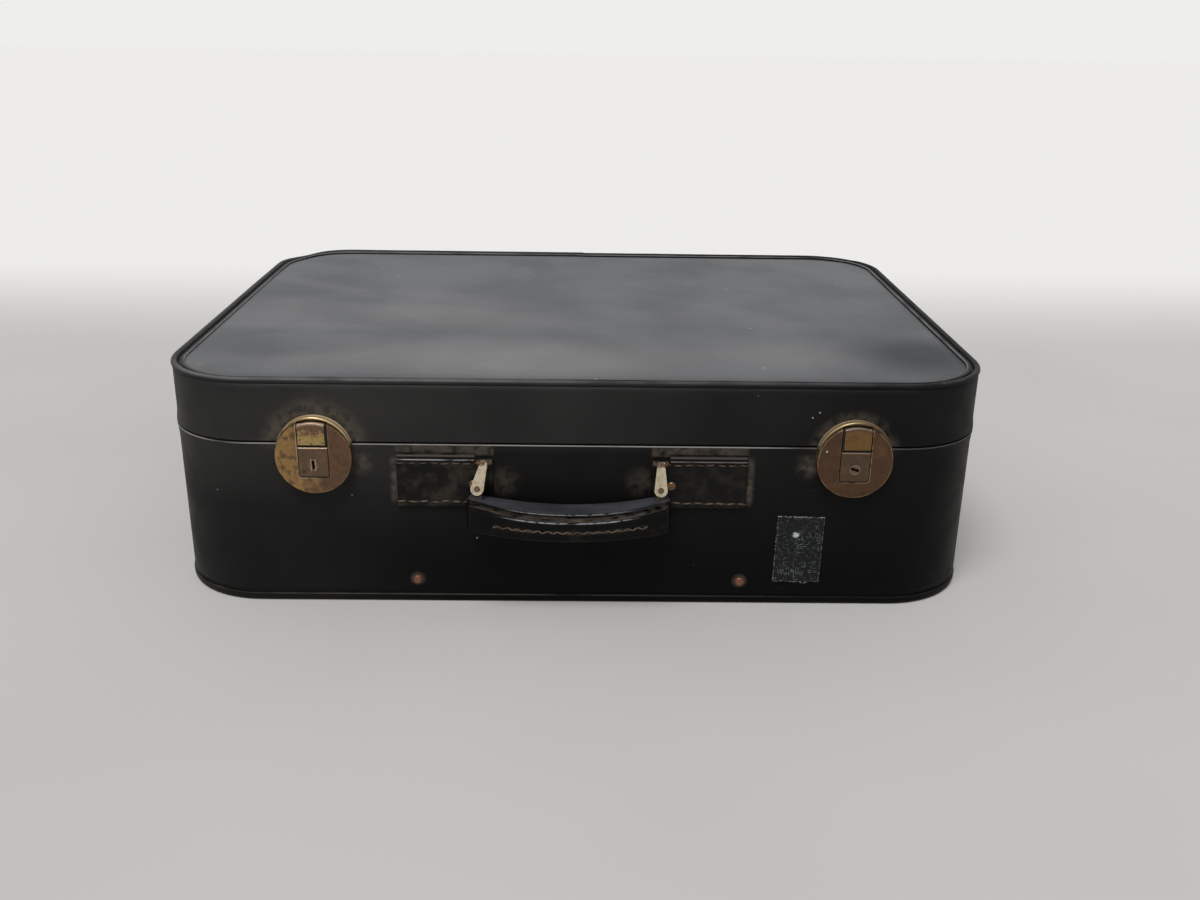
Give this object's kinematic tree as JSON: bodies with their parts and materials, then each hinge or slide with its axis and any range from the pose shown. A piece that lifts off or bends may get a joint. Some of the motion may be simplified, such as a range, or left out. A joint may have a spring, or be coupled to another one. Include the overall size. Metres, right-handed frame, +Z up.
{
  "type": "suitcase",
  "caption": "Hard leather suitcase with a hinged lid, two round push-button latches that lock with a key, and a leather handle on swinging links.",
  "frame": {"origin": "middle of the underside of the case, on the surface that it lies on", "axes": "+X along the width, to the right seen from the front; -Y to the front with the handle and latches; +Z up through the lid"},
  "size_m": [0.6, 0.4861, 0.1725],
  "materials": {
    "leather_black": "worn black case leather, satin",
    "leather_top": "dark grey-blue polished leather, soft shine",
    "leather_handle": "worn black leather, shiny on edges",
    "fibre_board": "raw fibre board",
    "lining_cloth": "plain woven lining",
    "latch_brass": "brown patinated brass, worn bright on edges",
    "hasp_brass": "rubbed brass with dark specks",
    "hinge_steel": "dulled plated steel",
    "plain_steel": "plain sheet steel",
    "rusty_steel": "rusted wire",
    "nickel_plate": "pale worn nickel plate",
    "copper_rivet": "dull copper",
    "steel_rivet": "dull steel",
    "strap_leather": "brown strap leather",
    "buckle_metal": "dull brass",
    "cloth_tape": "black cloth tape, rubbed pale"
  },
  "bodies": {
    "base": {"base_frame": "fibre_board", "base_panel": "fibre_board", "base_bottom_cover": "leather_black", "base_covering": "leather_black", "base_edge_binding": "leather_black", "base_lip": "fibre_board", "base_lining": "lining_cloth", "hinge_base_leaf_left": "hinge_steel", "hinge_base_leaf_right": "hinge_steel", "hinge_pin_left": "hinge_steel", "hinge_pin_right": "hinge_steel", "hinge_base_rivets": "steel_rivet", "latch_face_left": "latch_brass", "latch_face_right": "latch_brass", "latch_backplate_left": "plain_steel", "latch_backplate_right": "plain_steel", "latch_inner_plates": "plain_steel", "latch_rivets": "steel_rivet", "button_spring_left": "plain_steel", "button_spring_right": "plain_steel", "handle_tab_left": "leather_handle", "handle_tab_right": "leather_handle", "tab_rivets": "copper_rivet", "handle_staple_left": "rusty_steel", "handle_staple_right": "rusty_steel", "handle_backing_plates": "plain_steel", "strap_rivets": "copper_rivet", "packing_strap_left": "strap_leather", "packing_strap_right": "strap_leather", "strap_buckles": "buckle_metal", "tape_patch": "cloth_tape"},
    "lid": {"lid_frame": "fibre_board", "lid_panel": "fibre_board", "lid_covering": "leather_black", "lid_top_cover": "leather_top", "lid_outer_bead": "leather_black", "lid_inner_bead": "leather_black", "lid_lining": "lining_cloth", "hinge_lid_leaf_left": "hinge_steel", "hinge_lid_leaf_right": "hinge_steel", "hinge_lid_rivets": "steel_rivet", "latch_crescent_left": "latch_brass", "latch_crescent_right": "latch_brass", "crescent_rivets": "steel_rivet", "hasp_pin_left": "latch_brass", "hasp_pin_right": "latch_brass"},
    "handle": {"handle_grip": "leather_handle", "handle_tongues": "plain_steel", "handle_link_left": "nickel_plate", "handle_link_right": "nickel_plate", "handle_rivets": "rusty_steel"},
    "hasp_left": {"hasp_left": "hasp_brass"},
    "button_left": {"button_left": "latch_brass"},
    "key_plug_left": {"key_plug_left": "latch_brass"},
    "hasp_right": {"hasp_right": "hasp_brass"},
    "button_right": {"button_right": "latch_brass"},
    "key_plug_right": {"key_plug_right": "latch_brass"}
  },
  "joints": [
    {"name": "lid_open", "type": "hinge", "parent": "base", "child": "lid", "pos_m": [0, 0.2298, 0.1253], "axis": [-1, 0, 0], "range_deg": [0, 100]},
    {"name": "handle_swing", "type": "hinge", "parent": "base", "child": "handle", "pos_m": [-0.0029, -0.2325, 0.1131], "axis": [-1, 0, 0], "range_deg": [0, 145]},
    {"name": "hasp_left_lift", "type": "hinge", "parent": "lid", "child": "hasp_left", "pos_m": [-0.1853, -0.2312, 0.1394], "axis": [-1, 0, 0], "range_deg": [0, 100]},
    {"name": "button_left_press", "type": "slide", "parent": "base", "child": "button_left", "axis": [0, 1, 0], "range_m": [0, 0.002], "stiffness_N_per_m": 400, "springref_m": -0.003, "deforming": ["button_spring_left"]},
    {"name": "key_plug_left_turn", "type": "hinge", "parent": "button_left", "child": "key_plug_left", "pos_m": [-0.1853, -0.2351, 0.112], "axis": [0, 1, 0], "range_deg": [-90, 0]},
    {"name": "hasp_right_lift", "type": "hinge", "parent": "lid", "child": "hasp_right", "pos_m": [0.1974, -0.2312, 0.1394], "axis": [-1, 0, 0], "range_deg": [0, 100]},
    {"name": "button_right_press", "type": "slide", "parent": "base", "child": "button_right", "axis": [0, 1, 0], "range_m": [0, 0.002], "stiffness_N_per_m": 400, "springref_m": -0.003, "deforming": ["button_spring_right"]},
    {"name": "key_plug_right_turn", "type": "hinge", "parent": "button_right", "child": "key_plug_right", "pos_m": [0.1974, -0.2351, 0.112], "axis": [0, 1, 0], "range_deg": [-24, 66]}
  ]
}
